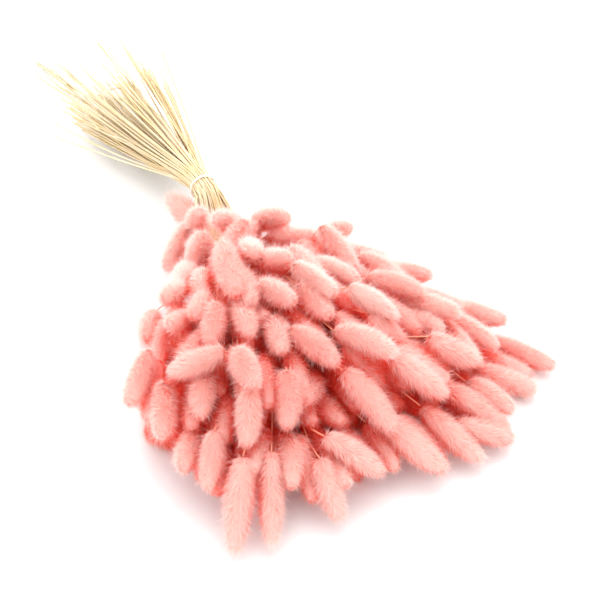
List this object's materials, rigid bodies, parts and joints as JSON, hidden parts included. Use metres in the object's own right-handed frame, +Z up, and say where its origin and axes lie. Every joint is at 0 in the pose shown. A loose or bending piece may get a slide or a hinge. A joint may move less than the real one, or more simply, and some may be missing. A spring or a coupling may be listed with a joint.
{
  "type": "dried bunny tail grass bunch",
  "caption": "Lying bunch of dried bunny tail grass: fluffy pink egg-shaped heads on fine straw stems that fan out both ways from a white band.",
  "frame": {"origin": "middle of the bunch's footprint, on the surface that it lies on", "axes": "+X along the bunch from the cut stem ends to the heads, +Y across it, +Z up from the surface that it lies on"},
  "size_m": [0.6668, 0.3028, 0.0905],
  "materials": {
    "straw": "matt dry straw with fine ridges along it",
    "band": "matt white elastic band",
    "fluff": "dyed pink hairs, pale at their ends and coral at their roots"
  },
  "bodies": {
    "root": {"head_01": "fluff", "head_03": "fluff", "head_04": "fluff", "head_05": "fluff", "head_06": "fluff", "head_08": "fluff", "head_09": "fluff", "head_11": "fluff", "head_12": "fluff", "head_13": "fluff", "head_15": "fluff", "head_16": "fluff", "head_17": "fluff", "head_19": "fluff", "head_20": "fluff", "head_21": "fluff", "head_24": "fluff", "head_27": "fluff", "head_28": "fluff", "head_29": "fluff", "head_30": "fluff", "head_46": "fluff", "head_53": "fluff", "heads_02": "fluff", "heads_07": "fluff", "heads_10": "fluff", "heads_14": "fluff", "heads_18": "fluff", "heads_22": "fluff", "heads_23": "fluff", "heads_25": "fluff", "heads_26": "fluff", "heads_31": "fluff", "heads_32": "fluff", "heads_33": "fluff", "heads_34": "fluff", "heads_35": "fluff", "heads_36": "fluff", "heads_37": "fluff", "heads_38": "fluff", "heads_39": "fluff", "heads_40": "fluff", "heads_41": "fluff", "heads_42": "fluff", "heads_43": "fluff", "heads_44": "fluff", "heads_45": "fluff", "heads_47": "fluff", "heads_48": "fluff", "heads_49": "fluff", "heads_50": "fluff", "heads_51": "fluff", "heads_52": "fluff", "heads_54": "fluff", "stems": "straw", "tie": "band"}
  },
  "joints": []
}
